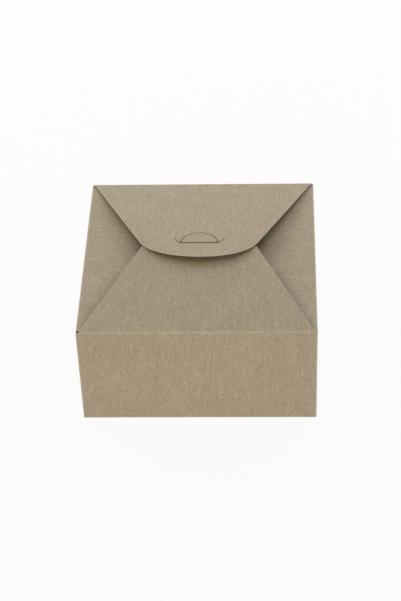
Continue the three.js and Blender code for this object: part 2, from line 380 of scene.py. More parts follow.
def inside_loops(points, loops):
    inside = np.zeros(len(points), bool)
    for loop in loops:
        x1, y1 = loop[:, 0], loop[:, 1]
        x2, y2 = np.roll(x1, -1), np.roll(y1, -1)
        for a, b, c, d in zip(x1, y1, x2, y2):
            if b == d:
                continue
            crosses = (points[:, 1] >= min(b, d)) & (points[:, 1] < max(b, d))
            reach = a + (points[:, 1] - b) * (c - a) / (d - b)
            inside ^= crosses & (points[:, 0] < reach)
    return inside


def distance_to_edges(points, starts, ends):
    """Distance from each point to the nearest of some straight edges."""
    nearest = np.full(len(points), np.inf)
    for start, end in zip(starts, ends):
        along = end - start
        share = np.clip(((points - start) @ along) / (along @ along), 0, 1)
        away = points - start - share[:, None] * along
        nearest = np.minimum(nearest, np.hypot(away[:, 0], away[:, 1]))
    return nearest


def distance_to_points(points, samples, furthest):
    """Distance from each point to the nearest of some samples, up to a furthest one."""
    nearest = np.full(len(points), furthest)
    for chunk in np.array_split(samples, max(1, len(samples) // CHUNK)):
        apart = points[:, None, :] - chunk[None, :, :]
        nearest = np.minimum(nearest, np.sqrt((apart ** 2).sum(axis=2)).min(axis=1))
    return nearest


def fill_flat(loops, inner_points, column_of):
    """Triangles of a flat outline with holes, its rows of points joined along the ribs."""
    vertices = [Vector(p) for loop in loops for p in loop]
    edges = []
    at = 0
    for loop in loops:
        count = len(loop)
        edges.extend((at + i, at + (i + 1) % count) for i in range(count))
        at += count
    boundary_count = at
    vertices.extend(Vector(p) for p in inner_points)
    if column_of is not None:
        order = np.lexsort((inner_points[:, 1], column_of))
        for a, b in zip(order, order[1:]):
            run = inner_points[b][1] - inner_points[a][1]
            if column_of[a] == column_of[b] and run < LONGEST_RUN:
                edges.append((boundary_count + int(a), boundary_count + int(b)))
    flat, _, faces, origins, _, _ = geometry.delaunay_2d_cdt(vertices, edges, [], 0, MERGE)
    flat = np.array([tuple(p) for p in flat])
    faces = np.array([f for f in faces if len(f) == 3])
    middles = flat[faces].mean(axis=1)
    faces = faces[inside_loops(middles, loops)]
    a, b, c = flat[faces[:, 0]], flat[faces[:, 1]], flat[faces[:, 2]]
    area = (b[:, 0] - a[:, 0]) * (c[:, 1] - a[:, 1]) - (b[:, 1] - a[:, 1]) * (c[:, 0] - a[:, 0])
    faces[area < 0] = faces[area < 0][:, ::-1]
    faces = faces[np.abs(area) > NO_AREA]
    boundary = {}
    for index, sources in enumerate(origins):
        for source in sources:
            if source < boundary_count:
                boundary[source] = index
    return flat, faces, [boundary[i] for i in range(boundary_count)]


def grid_points(loops, columns, rows):
    """The crossings of columns and rows that lie well inside an outline."""
    u, v = np.meshgrid(columns, rows)
    column_of = np.tile(np.arange(len(columns)), len(rows))
    points = np.column_stack((u.ravel(), v.ravel()))
    keep = inside_loops(points, loops)
    points, column_of = points[keep], column_of[keep]
    starts = np.vstack(loops)
    ends = np.vstack([np.roll(loop, -1, axis=0) for loop in loops])
    if len(starts) > MANY_EDGES:
        samples = np.vstack((starts, (starts + ends) / 2))
        nearest = distance_to_points(points, samples, FAR_OFF)
    else:
        nearest = distance_to_edges(points, starts, ends)
    keep = nearest > GRID_MARGIN
    return points[keep], column_of[keep]


def with_extra(points, column_of, extra):
    """Adds points to a grid, which makes room for them."""
    if not len(extra):
        return points, column_of
    extra = np.array(extra)
    apart = np.hypot(
        points[:, None, 0] - extra[None, :, 0],
        points[:, None, 1] - extra[None, :, 1],
    ).min(axis=1)
    keep = apart > EXTRA_MARGIN
    no_column = -1 - np.arange(len(extra))
    return np.vstack((points[keep], extra)), np.concatenate((column_of[keep], no_column))


def rib_columns(low, high):
    step = RIB_PITCH / RIB_STEPS
    first, last = math.ceil(low / step), math.floor(high / step)
    return np.arange(first, last + 1) * step


def fine_lines(low, high):
    return np.linspace(low, high, FOLD_STEPS + 1)


def board_piece(
    name, loops, surface, joined=(), rows=(), extra_columns=(), folds=(), extra=(), shade=None,
    inner_step=RIB_STEPS * INNER_COLUMN,
):
    """A closed piece of board: ribbed outside, plain inside, with slightly rounded cut edges.

    joined: tests that say whether an edge of the outline carries on into the next piece.
    folds: fold lines in the flat blank, each two points, near which the board is worn and has a
    painted highlight.
    extra: more points of the surface, where its shape turns sharply.
    shade: painted shade, how dark the board is painted where shade falls in the slit and round the
    tongue, from 0 to 1.
    inner_step: how many columns apart the inner face's points are: few where the board is folded.
    """
    loops = [np.array(loop, float) for loop in loops]
    low = np.vstack(loops).min(axis=0)
    high = np.vstack(loops).max(axis=0)
    columns = rib_columns(low[0], high[0])
    bends = np.array([c for c in extra_columns if low[0] < c < high[0]])
    if len(bends):
        apart = np.abs(columns[:, None] - bends[None, :]).min(axis=1)
        columns = np.sort(np.concatenate((columns[apart > BEND_MARGIN], bends)))
    rows = np.array(sorted(set(rows)))

    outlines, inner_outlines, cut_starts = [], [], []
    for loop in loops:
        points = sample_loop(loop, columns, rows)
        ends = np.roll(points, -1, axis=0)
        is_joined = np.array([any(test(a, b) for test in joined) for a, b in zip(points, ends)])
        outlines.append(points)
        inner_outlines.append(inset_loop(points, np.where(is_joined, 0.0, EDGE_RADIUS)))
        cut_starts.extend(points[~is_joined])

    fine, fine_column = with_extra(*grid_points(inner_outlines, columns, rows), extra)
    top, top_faces, top_ring = fill_flat(inner_outlines, fine, fine_column)
    coarse_columns = np.sort(np.concatenate((columns[::inner_step], bends)))
    coarse, _ = with_extra(*grid_points(inner_outlines, coarse_columns, rows), extra)
    under, under_faces, under_ring = fill_flat(inner_outlines, coarse, None)

    inner = np.vstack(inner_outlines)
    outset = np.vstack(outlines) - inner
    rings = [(math.sin(a), -EDGE_RADIUS * (1 - math.cos(a)), True) for a in EDGE_ANGLES]
    rings += [(math.sin(a), -BOARD + EDGE_RADIUS * (1 - math.cos(a)), False)
              for a in reversed(EDGE_ANGLES)]

    # Layers of points from the ribbed face round the cut edge to the plain one: where in the
    # blank, how deep, on the cut edge or not, and outside or not
    layers = [(top, rib_relief(top[:, 0], top[:, 1]), 0.0, 1.0)]
    for share, sink, upper in rings:
        ring = inner + outset * share
        relief = rib_relief(ring[:, 0], ring[:, 1]) if upper else 0.0
        layers.append((ring, relief + sink, 1.0, float(upper)))
    layers.append((under, -BOARD, 0.0, 0.0))
    flat = np.vstack([layer[0] for layer in layers])
    depth, cut, outside = (
        np.concatenate([np.broadcast_to(layer[i], len(layer[0])) for layer in layers])
        for i in (1, 2, 3)
    )

    faces = [tuple(f) for f in top_faces]
    ring_index = [np.array(top_ring)]
    at = len(top)
    for _ in rings:
        ring_index.append(at + np.arange(len(inner)))
        at += len(inner)
    ring_index.append(at + np.array(under_ring))
    sharp = []
    start = 0
    for loop in inner_outlines:
        count = len(loop)
        here = start + np.arange(count)
        there = start + (np.arange(count) + 1) % count
        for upper, lower in zip(ring_index, ring_index[1:]):
            faces.extend(zip(upper[here], lower[here], lower[there], upper[there]))
        for ring in (ring_index[0], ring_index[-1]):
            sharp.extend(zip(ring[here], ring[there]))
        start += count
    faces.extend(at + f[::-1] for f in under_faces)
    faces = [[int(i) for i in f] for f in faces]

    points = offset_points(surface, flat, depth) * MM
    mesh = bpy.data.meshes.new(name)
    mesh.from_pydata(points.tolist(), [], [f for f in faces if len(set(f)) > 2])
    mesh.polygons.foreach_set("use_smooth", [True] * len(mesh.polygons))
    mark_sharp(mesh, sharp)

    from_fold = np.full(len(flat), FAR_OFF)
    if folds:
        from_fold = distance_to_edges(flat, *np.swapaxes(np.array(folds, float), 0, 1))
    store(mesh, "blank", "FLOAT_VECTOR", np.column_stack((flat, outside)))
    # Attributes for the material, among them the painted shade from 0 to 1
    for attribute, values in (
        ("crest", 1 + rib_relief(flat[:, 0], flat[:, 1]) / RIB_DEPTH),
        ("cut_edge", cut),
        ("from_cut", distance_to_points(flat, np.array(cut_starts), FAR_OFF)),
        ("from_fold", from_fold),
        ("shade", shade(flat) if shade else np.zeros(len(flat))),
    ):
        store(mesh, attribute, "FLOAT", values)
    piece = add_object(name, mesh)
    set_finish(piece, "ribbed_kraft")
    return piece


def offset_points(surface, flat, depth):
    """Points at a depth below the board's outer face, square to the folded surface."""
    u, v = flat[:, 0], flat[:, 1]
    middle = surface(u, v)
    along_u = surface(u + SLOPE_STEP, v) - surface(u - SLOPE_STEP, v)
    along_v = surface(u, v + SLOPE_STEP) - surface(u, v - SLOPE_STEP)
    normal = np.cross(along_u, along_v)
    normal /= np.linalg.norm(normal, axis=1)[:, None]
    return middle + normal * depth[:, None]


def store(mesh, name, kind, values):
    attribute = mesh.attributes.new(name, kind, "POINT")
    field = "vector" if kind == "FLOAT_VECTOR" else "value"
    attribute.data.foreach_set(field, np.ascontiguousarray(values, np.float32).ravel())


def mark_sharp(mesh, pairs):
    wanted = {frozenset((int(a), int(b))) for a, b in pairs}
    flags = [frozenset(e.vertices) in wanted for e in mesh.edges]
    attribute = mesh.attributes.new("sharp_edge", "BOOLEAN", "EDGE")
    attribute.data.foreach_set("value", flags)


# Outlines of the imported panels, in the flat blank
def face_loops(node, side_name, plane_point, normal):
    """The outline of a node's face in a plane, as loops of (across, distance from the crease)."""
    mesh = frame["nodes"][node].data
    side = SIDES[side_name]
    origin = Vector(plane_point) * MM
    normal = Vector(normal)
    along = normal.cross(side["across"])
    corners = {}
    edges = {}

    def key_of(point):
        return (round(point[0], 3), round(point[1], 3))

    for polygon in mesh.polygons:
        points = [mesh.vertices[i].co - origin for i in polygon.vertices]
        same_way = polygon.normal.dot(normal) > SAME_WAY
        if same_way and all(abs(p.dot(normal)) < IN_PLANE for p in points):
            flat = [(p.dot(side["across"]) / MM, p.dot(along) / MM) for p in points]
            keys = [key_of(p) for p in flat]
            corners.update(zip(keys, flat))
            for a, b in zip(keys, keys[1:] + keys[:1]):
                if (b, a) in edges:
                    del edges[(b, a)]
                else:
                    edges[(a, b)] = True
    following = dict(edges.keys())
    loops = []
    while following:
        start = next(iter(following))
        loop = [start]
        here = following.pop(start)
        while here != start:
            loop.append(here)
            here = following.pop(here)
        loops.append(straightened([corners[k] for k in loop]))
    return sorted(loops, key=lambda loop: -abs(loop_area(loop)))


def loop_area(loop):
    loop = np.array(loop)
    after = np.roll(loop, -1, axis=0)
    return float((loop[:, 0] * after[:, 1] - loop[:, 1] * after[:, 0]).sum() / 2)


def straightened(loop):
    """Leaves out points that lie on a straight edge."""
    loop = [np.array(p) for p in loop]
    kept = []
    for index, point in enumerate(loop):
        before = loop[index - 1]
        after = loop[(index + 1) % len(loop)]
        span = after - before
        away = abs(span[0] * (point[1] - before[1]) - span[1] * (point[0] - before[0]))
        if away / np.linalg.norm(span) > CLOSE:
            kept.append(point)
    return np.array(kept)


def on_row(value):
    return lambda a, b: abs(a[1] - value) < CLOSE and abs(b[1] - value) < CLOSE


def on_column(value):
    return lambda a, b: abs(a[0] - value) < CLOSE and abs(b[0] - value) < CLOSE


def even_rows(low, high, step):
    count = max(2, round((high - low) / step))
    return list(np.linspace(low, high, count + 1))


def across(side, points):
    """Moves an outline drawn about a side's middle to its place along the sleeve."""
    return np.array(points, float) + np.array((side["middle"], 0.0))


def fold_line(side, crease, low=-HALF_WIDTH, high=HALF_WIDTH):
    """One of a side's creases in the blank, between two distances from the side's middle."""
    return (side["middle"] + low, side[crease]), (side["middle"] + high, side[crease])


def outer_end(loop):
    return loop[:, 1].max()


# Walls
WALL_BOW = 0.35
CORNER_LIFT = 0.5
CORNER_DROP = 0.2


def wall_bow(u, v):
    """Each wall is drawn in a little between its corners and creases."""
    total = np.zeros_like(np.asarray(u, float))
    for side in SIDES.values():
        half = HALF_WIDTH - 2 * FOLD_RADIUS
        share = np.clip((u - side["middle"]) / half, -1, 1)
        low, high = side["wall_bottom"], side["wall_top"]
        up = np.clip((v - low) / (high - low), 0, 1)
        total = total + WALL_BOW * (1 - share ** 2) ** 2 * (4 * up * (1 - up)) ** 2
    return total


def corner_columns():
    columns = []
    for low, high in corner_arcs:
        columns.extend(fine_lines(low, high))
    return columns


def build_wall(name, low_u, high_u):
    """A wall between two folded corners, with notches where the folds of base and lid end."""
    side = SIDES[name]
    bottom, top = side["wall_bottom"], side["wall_top"]
    is_end = name in ("front", "rear")
    corner_low = SIDE_BASE + CORNER_LIFT if is_end else SIDE_BASE
    corner_high = SIDE_HEIGHT if is_end else SIDE_HEIGHT - CORNER_DROP
    outline = [
        (low_u, corner_low),
        *((side["middle"] + u, bottom) for u in BASE_ENDS[name]),
        (high_u, corner_low),
        (high_u, corner_high),
        *((side["middle"] + u, top) for u in reversed(LID_ENDS[name])),
        (low_u, corner_high),
    ]
    corners = [low_u] if name == "rear" else [low_u, high_u]
    piece = board_piece(
        name + "_wall_board",
        [outline],
        sleeve_surface(wall_bow),
        joined=[on_row(bottom), on_row(top)] + [on_column(u) for u in corners],
        rows=even_rows(bottom, top, ROW_STEP),
        extra_columns=corner_columns(),
        folds=[((low_u, side[v]), (high_u, side[v])) for v in ("crease", "bottom_crease")]
        + [((u, 0.0), (u, END_HEIGHT)) for u in corners],
    )
    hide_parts(name + "_wall")
    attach(piece, "carcass")


# Where the folds of the lid and of the base end at the wall and at the flap or panel, across
# each side from its middle
LID_ENDS = {
    "front": (-79.0, 79.3),
    "rear": (-79.4, 79.4),
    "left": (-79.4, 77.3),
    "right": (-78.9, 79.4),
}
FLAP_ROOTS = {
    "front": (-77.3, 78.6),
    "rear": (-78.9, 78.9),
    "left": (-79.0, 77.0),
    "right": (-78.6, 79.0),
}
BASE_ENDS = {
    "front": (-78.6, 79.3),
    "rear": (-78.6, 78.6),
    "left": (-78.2, 78.2),
    "right": (-78.2, 78.2),
}
BASE_ROOTS = {"front": (-76.2, 78.2), "rear": (-77.0, 77.0)}

# How near to the crease a flap's root is, where its ears end, and what the bending strip leaves
ROOT_BAND = 0.35
ROOT_REACH = 3.2


# Lid flaps
def flap_rows(side, reach, step=ROW_STEP):
    return even_rows(side["flap_start"], side["to_crease"] + reach, step)


def flap_loops(name):
    """A lid flap's outline and then its slit, as loops of (across, distance from the crease)."""
    side = SIDES[name]
    node = name + "_flap"
    crease = np.array(side["outward"]) * side["half"] + UP * side["height"]
    return face_loops(node, name, crease, up_normal_of(node))


def trimmed_root(name, loop):
    """Cuts a flap outline off where its fold strip ends, with small ears at its corners."""
    side = SIDES[name]
    start = side["flap_start"] - side["to_crease"]
    root = loop[:, 1] < ROOT_BAND
    kept = []
    for index, point in enumerate(loop):
        if not root[index]:
            kept.append(point)
            continue
        after = (index + 1) % len(loop)
        neighbour = loop[index - 1] if root[after] else loop[after]
        share = (ROOT_REACH - point[1]) / (neighbour[1] - point[1])
        corner = np.array((FLAP_ROOTS[name][int(point[0] > 0)], start))
        ear = point + (neighbour - point) * share
        kept.extend((ear, corner) if root[after] else (corner, ear))
    return np.array(kept)


def to_blank(side, loop):
    return np.array(loop) + np.array((side["middle"], side["to_crease"]))


def fold_strip(name):
    """The creased strip between a wall and its lid flap."""
    side = SIDES[name]
    low, high = side["wall_top"], side["flap_start"]
    wall_low, wall_high = LID_ENDS[name]
    flap_low, flap_high = FLAP_ROOTS[name]
    outline = across(side, [(wall_low, low), (wall_high, low), (flap_high, high), (flap_low, high)])
    piece = board_piece(
        name + "_lid_fold",
        [outline],
        fold_surface(side),
        joined=[on_row(low), on_row(high)],
        rows=[low, *fine_lines(*side["top_arc"]), high],
        folds=[fold_line(side, "crease", wall_low, wall_high)],
        inner_step=1,
    )
    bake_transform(piece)


# How far a side flap gives way under the front flap's slanted edge, and over what width and run,
# with the flap still at its own crease
HIP_SINK = 2.4
HIP_FAR = 30.0
HIP_WIDTH = (-6.0, 11.0)
HIP_RUN = (1.0, 9.0, 45.0, 80.0)
HIP_CALM = (1.0, 5.5)
HIP_ROW_STEP = 2.5


def side_lift(name):
    """A side flap is pressed in a little under the front flap's slanted edge."""
    side = SIDES[name]
    to_front = 1 if name == "left" else -1
    slants = [p for p in flap_loops("front")[0] if p[0] * side["outward"].x > 0]
    root = min(slants, key=lambda p: p[1])
    far = min((p for p in slants if p[1] > HIP_FAR), key=lambda p: p[1])

    def on_side(point):
        inwards = HALF_WIDTH - abs(point[0])
        forwards = HALF_DEPTH - point[1] * math.cos(SIDES["front"]["rise"])
        return np.array((forwards, inwards / math.cos(side["rise"])))

    start = on_side(root)
    along = on_side(far) - start
    along /= np.linalg.norm(along)

    def lift(u, v):
        distance = v - side["to_crease"]
        forwards = to_front * u - start[0]
        inwards = distance - start[1]
        run = forwards * along[0] + inwards * along[1]
        away = inwards * along[0] - forwards * along[1]
        held = smooth_step(*HIP_RUN[:2], run) * (1 - smooth_step(*HIP_RUN[2:], run))
        held = held * smooth_step(*HIP_CALM, distance)
        return -HIP_SINK * held * (1 - smooth_step(*HIP_WIDTH, away))

    return lift


def build_flap(name, loops, lift, rows, joined=(), **options):
    """A lid flap from its outline and slit, and the creased strip that joins it to its wall."""
    side = SIDES[name]
    node = name + "_flap"
    piece = board_piece(
        node + "_board",
        [to_blank(side, loop) for loop in loops],
        fold_surface(side, lift),
        joined=[on_row(side["flap_start"]), *joined],
        rows=rows,
        folds=[fold_line(side, "crease")],
        **options,
    )
    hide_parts(node)
    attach(piece, node)
    fold_strip(name)


wall_ends = corner_middles + [SIDES["rear"]["middle"] + HALF_WIDTH]
for name, first in (("front", 1), ("right", 2), ("rear", 3), ("left", 0)):
    build_wall(name, *wall_ends[first:first + 2])
for name in ("left", "right"):
    outline = trimmed_root(name, flap_loops(name)[0])
    rows = flap_rows(SIDES[name], outer_end(outline), HIP_ROW_STEP)
    build_flap(name, [outline], side_lift(name), rows)


# The slit and what passes through it, in the plane of the rear flap: s runs from the slit towards
# the rear crease and h is the height above the flap
SLIT_FALLOFF = (12.8, 17.5)
SLIT_SHARE = 0.97
SLIT_FAR_CUT = 0.35
SLIT_ROWS = (6.0, 8.5, 0.7)
MIDDLE_MARGIN = 0.01
ARM_SLOPE = 0.6
# How dark the painted shade along the slit's arms is, and how far from the cut it fades
ARM_SHADE = 0.45
ARM_FADE = (0.02, 0.12)
TONGUE_SHARE = 0.965
TONGUE_HEIGHT = 0.1
TONGUE_ROW_STEP = 0.8
TONGUE_BED = 0.46
BED_GAP = (0.4, 0.7)
BED_POINTS = 120
BED_BELOW = 0.5
# Where the painted shade round the tongue's bed begins and ends, and how dark the painted shade on
# the tongue's edge is and where it fades
RING_BEGIN = (-0.2, 0.0)
RING_END = (0.5, 0.74)
RIM_SHADE = 0.5
RIM_FADE = (0.03, 0.14)
NECK_MARGIN = 0.1
NECK_RUN = 7.0
NECK_LEAVES = (5.0, 0.0)
NECK_ARRIVES = (0.2, -0.45)
NECK_PAST = 0.05
NECK_POINTS = 81
NECK_BEFORE = (-50.0, -0.5)
NECK_AFTER = (14.0, 40.0)
NECK_SINK = 0.02
NECK_ROWS = (3.5, 4.5, 0.45)
FOLD_END = 1.1
FOLD_MARGIN = 0.1
FOLD_ROW_STEP = 0.1
# How dark the painted shade on the neck in the slit is, and how far before the fold's end it fades
FOLD_SHADE = 0.85
FOLD_FADE = (0.6, 0.2)
MOON_START = 0.3
MOON_POINTS = 61
TIP_START = 80.0
TIP_CUT = ((-22, 0, 28), (0.058, 0.063, 0.12))
REAR_REACH = 99.0
RIPPLE = 0.07
RIPPLE_BEGINS = (2.0, 25.0)
RIPPLE_ENDS = (60.0, 72.0)
RIPPLE_CALM = (0.4, 0.7)
RIPPLE_LONG = (17.0, 29.0, 0.7)
RIPPLE_SLOW = (31.0, 19.0, 0.6)

rear, front = SIDES["rear"], SIDES["front"]
rear_loops = flap_loops("rear")
slit = rear_loops[1]
slit[:, 0] *= SLIT_SHARE
slit_half = np.abs(slit[:, 0]).min()
slit_middle_edges = slit[np.abs(np.abs(slit[:, 0]) - slit_half) < MIDDLE_MARGIN][:, 1]
slit_distance = (slit_middle_edges.min() + slit_middle_edges.max()) / 2
slit_end_radius = slit_distance - slit[np.abs(slit[:, 0]).argmax()][1]
slit_far = (np.abs(slit[:, 0]) < slit_half + MIDDLE_MARGIN) & (slit[:, 1] < slit_distance)
slit[:, 1] -= np.where(slit_far, SLIT_FAR_CUT, ARM_SLOPE * (np.abs(slit[:, 0]) - slit_half))
rear_direction = np.array((math.cos(rear["rise"]), -math.sin(rear["rise"])))
rear_normal = np.array((math.sin(rear["rise"]), math.cos(rear["rise"])))
rear_crease = np.array((HALF_DEPTH, END_HEIGHT))
slit_centre = rear_crease - rear_direction * slit_distance
front_direction = np.array((math.cos(front["rise"]), math.sin(front["rise"])))
front_normal = np.array((-math.sin(front["rise"]), math.cos(front["rise"])))
front_crease = np.array((-HALF_DEPTH, END_HEIGHT))
tongue_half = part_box("tongue")[1].x / MM
neck_half = tongue_half * TONGUE_SHARE
neck_side = tongue_half + NECK_MARGIN
front_plate = np.array([p for p in flap_loops("front")[0] if abs(p[0]) > neck_side])
front_reach = outer_end(front_plate)

# The tongue's round edge, about a centre in the same plane
tongue_joint = [joint for joint in frame["joints"] if joint["name"] == "tongue_crease"][0]
tongue_axis = np.array(tongue_joint["pos_m"]) / MM
moon = face_loops("tongue", "front", tongue_axis, (0, rear_normal[0], rear_normal[1]))[0]
moon_root = (tongue_axis[1:] - slit_centre) @ rear_direction
moon_base = moon[:, 1].min() + moon_root
moon_apex = moon[:, 1].max() + moon_root
moon_radius = (neck_half ** 2 + (moon_apex - moon_base) ** 2) / (2 * (moon_apex - moon_base))
moon_centre = moon_apex - moon_radius


def at_slit(s, h):
    """A place beside the slit as (distance from the front crease, height above the front flap)."""
    place = slit_centre + rear_direction * s + rear_normal * h - front_crease
    return np.array((place @ front_direction, place @ front_normal))


def neck_curve():
    """The line that the front flap's neck follows up through the slit to the tongue."""
    start = np.array((front_reach - NECK_RUN, 0.0))
    leaving = start + np.array(NECK_LEAVES)
    arriving = at_slit(*NECK_ARRIVES)
    end = at_slit(FOLD_END, TONGUE_HEIGHT)
    t = np.linspace(0, 1, NECK_POINTS)[:, None]
    curve = (
        start * (1 - t) ** 3
        + 3 * leaving * (1 - t) ** 2 * t
        + 3 * arriving * (1 - t) * t ** 2
        + end * t ** 3
    )
    before = np.array(((NECK_BEFORE[0], 0.0), (start[0] + NECK_BEFORE[1], 0.0)))
    after = np.array([at_slit(s, TONGUE_HEIGHT - NECK_SINK) for s in NECK_AFTER])
    return np.vstack((before, curve, after))


neck_line = neck_curve()


def ripple(u, distance, reach):
    """Board is never quite flat: a slow wave, still at the crease and at the slit."""
    drop, from_share = RIPPLE_CALM
    calmer = 1 - drop * smooth_step(from_share * reach, reach, distance)
    still = smooth_step(*RIPPLE_BEGINS, distance) * calmer
    across_a, along_a, phase = RIPPLE_LONG
    across_b, along_b, share = RIPPLE_SLOW
    wave = np.sin(u / across_a + distance / along_a + phase)
    wave = wave + share * np.sin(u / across_b - distance / along_b)
    return RIPPLE * still * wave * (1 - smooth_step(*RIPPLE_ENDS, distance))


def front_lift(u, v):
    distance = v - front["to_crease"]
    height = np.interp(distance, neck_line[:, 0], neck_line[:, 1])
    share = 1 - smooth_step(*SLIT_FALLOFF, np.abs(u))
    return height * share + ripple(u, distance, front_reach)


def rear_lift(u, v):
    distance = v - rear["to_crease"]
    s = slit_distance - distance
    past_end = np.clip(np.abs(u) - slit_half, 0, slit_end_radius * 0.999)
    slit_line = slit_end_radius - np.sqrt(slit_end_radius ** 2 - past_end ** 2)
    slit_line = slit_line + ARM_SLOPE * past_end
    past_tongue = np.hypot(u, s - moon_centre) - moon_radius
    bedded = -TONGUE_BED * (1 - smooth_step(*BED_GAP, past_tongue))
    return np.where(s < slit_line, 0.0, bedded) + ripple(u, distance, REAR_REACH)


def rear_shade(flat):
    """Painted shade: dark along the slit and round the tongue's outline."""
    u = flat[:, 0] - rear["middle"]
    s = slit_distance - (flat[:, 1] - rear["to_crease"])
    past_tongue = np.hypot(u, s - moon_centre) - moon_radius
    ring = smooth_step(*RING_BEGIN, past_tongue) * (1 - smooth_step(*RING_END, past_tongue))
    edges = to_blank(rear, slit)
    from_slit = distance_to_edges(flat, edges, np.roll(edges, -1, axis=0))
    arm = ARM_SHADE * (1 - smooth_step(*ARM_FADE, from_slit))
    return np.maximum(ring * (s > MOON_START), arm)


def rear_tip(loop):
    """Draws the tip in, by about 1.2 mm in its middle and more on one side."""
    beyond = np.clip(loop[:, 1] - TIP_START, 0, None)
    loop[:, 1] -= beyond * np.interp(loop[:, 0], *TIP_CUT)
    return loop


def rows_near_slit(side, reach, slit_at, before, spread, step):
    """The rows of a flap, closer together about a place some way before the slit."""
    start = side["to_crease"]
    slit_at = slit_at - before
    rows = [r for r in flap_rows(side, reach) if abs(r - start - slit_at) > spread]
    return rows + [start + r for r in np.arange(slit_at - spread, slit_at + spread, step)]


def build_rear_flap():
    outer = rear_tip(trimmed_root("rear", rear_loops[0]))
    bed = []
    for gap in (BED_GAP[0], sum(BED_GAP) / 2, BED_GAP[1]):
        radius = moon_radius + gap
        lowest = math.asin(max(-1.0, (moon_base + BED_BELOW - moon_centre) / radius))
        for angle in np.linspace(lowest, math.pi - lowest, BED_POINTS):
            s = moon_centre + radius * math.sin(angle)
            bed.append((
                rear["middle"] + radius * math.cos(angle),
                rear["to_crease"] + slit_distance - s,
            ))
    rows = rows_near_slit(rear, outer_end(outer), slit_distance, *SLIT_ROWS)
    build_flap("rear", [outer, slit], rear_lift, rows, extra=bed, shade=rear_shade)


def build_front_flap():
    plate = trimmed_root("front", front_plate)
    right = sorted((p for p in plate if p[0] > 0), key=lambda p: p[1])
    left = sorted((p for p in plate if p[0] < 0), key=lambda p: -p[1])
    neck_end = front_reach + NECK_PAST
    neck = [
        (neck_half + NECK_PAST, front_reach),
        (neck_half, neck_end),
        (-neck_half, neck_end),
        (-neck_half - NECK_PAST, front_reach),
    ]
    outline = np.array(right + neck + left)
    rows = rows_near_slit(front, front_reach, front_reach, *NECK_ROWS)
    end = front["to_crease"] + neck_end
    rows = [r for r in rows if r < end - FOLD_MARGIN]
    build_flap("front", [outline], front_lift, rows, joined=[on_row(end)])
    return neck_end


def build_tongue(neck_end):
    start = front["to_crease"]
    fold_end = at_slit(FOLD_END, TONGUE_HEIGHT)[0]
    low, high = start + neck_end, start + fold_end
    strip = across(front, [
        (-neck_half, low),
        (neck_half, low),
        (neck_half, high),
        (-neck_half, high),
    ])
    # Painted shade on the neck where it lies in the slit, fading out before the tongue
    dark_end, pale_start = (high - fade for fade in FOLD_FADE)

    def fold_shade(flat):
        return FOLD_SHADE * (1 - smooth_step(dark_end, pale_start, flat[:, 1]))

    fold = board_piece(
        "tongue_fold",
        [strip],
        fold_surface(front, front_lift),
        joined=[on_row(low), on_row(high)],
        rows=even_rows(low, high, FOLD_ROW_STEP),
        inner_step=1,
        shade=fold_shade,
    )
    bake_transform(fold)
    lean = math.cos(front["rise"] + rear["rise"])
    base = math.asin((FOLD_END + MOON_START - moon_centre) / moon_radius)
    outline = [(neck_half, fold_end)]
    for angle in np.linspace(base, math.pi - base, MOON_POINTS):
        s = moon_centre + moon_radius * math.sin(angle)
        outline.append((moon_radius * math.cos(angle), fold_end + (s - FOLD_END) * lean))
    outline.append((-neck_half, fold_end))
    edge = to_blank(front, outline)

    # Painted shade along the tongue's cut edge, fading inwards
    def painted_rim_shade(flat):
        from_rim = distance_to_edges(flat, edge[:-1], edge[1:])
        return RIM_SHADE - RIM_SHADE * smooth_step(*RIM_FADE, from_rim)

    piece = board_piece(
        "tongue_board",
        [edge],
        fold_surface(front, front_lift),
        joined=[on_row(high)],
        rows=even_rows(high, outer_end(edge), TONGUE_ROW_STEP),
        shade=painted_rim_shade,
    )
    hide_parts("tongue")
    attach(piece, "tongue")


build_rear_flap()
build_tongue(build_front_flap())


# Base: sizes across and inwards from each bottom crease
HOOK_GAP = 0.3
HOOK_TIP = 90.0
HOOK_ROOT = 63.0
HOOK_HALF = 29.0
OUTER_TIP = 94.0
OUTER_TIP_EDGE = 62.0
OUTER_SHOULDER = 74.0
OUTER_START = 3.0
BASE_EDGE = 79.0
ROOT_CUT = 0.8
HOOK_CUT = 1.5
HOOK_CORNER = 4.0
DIAGONAL = 78.5
DIAGONAL_START = 1.2
TAB_GAP = 0.4
TAB_SLANT = (18.0, 4.0)
TAB_CORNER = 2.0
TAB_ROW_STEP = 1.6
TAB_END = 56.0
TAB_INNER = 51.0
TAB_EDGE = 77.9
INNER_REACH = 52.0
INNER_TAPER = 44.0
INNER_CORNER = 3.0
INNER_START = 0.4
SEAM_TAPER = 8.0
FIRST_ROW = 2.0
STEP_RUN = 1.8
TAB_STEP = 0.3
LIFT_MARGIN = 1.0
LIFT_START = 0.5
DIAGONAL_FOLD = [(HOOK_HALF, DIAGONAL - HOOK_HALF), (DIAGONAL, 0.0)]


def base_rows(side, low, high, step):
    return [side["from_base"] - r for r in even_rows(low, high, step)]


def bend_rows(side):
    """The rows of the fold between a wall and its base panel."""
    return [side["wall_bottom"], *fine_lines(*side["bottom_arc"])]


def base_blank(side, outline):
    """An outline of (across, distance inwards from the bottom crease), in the blank."""
    return [(side["middle"] + u, side["from_base"] - inwards) for u, inwards in outline]


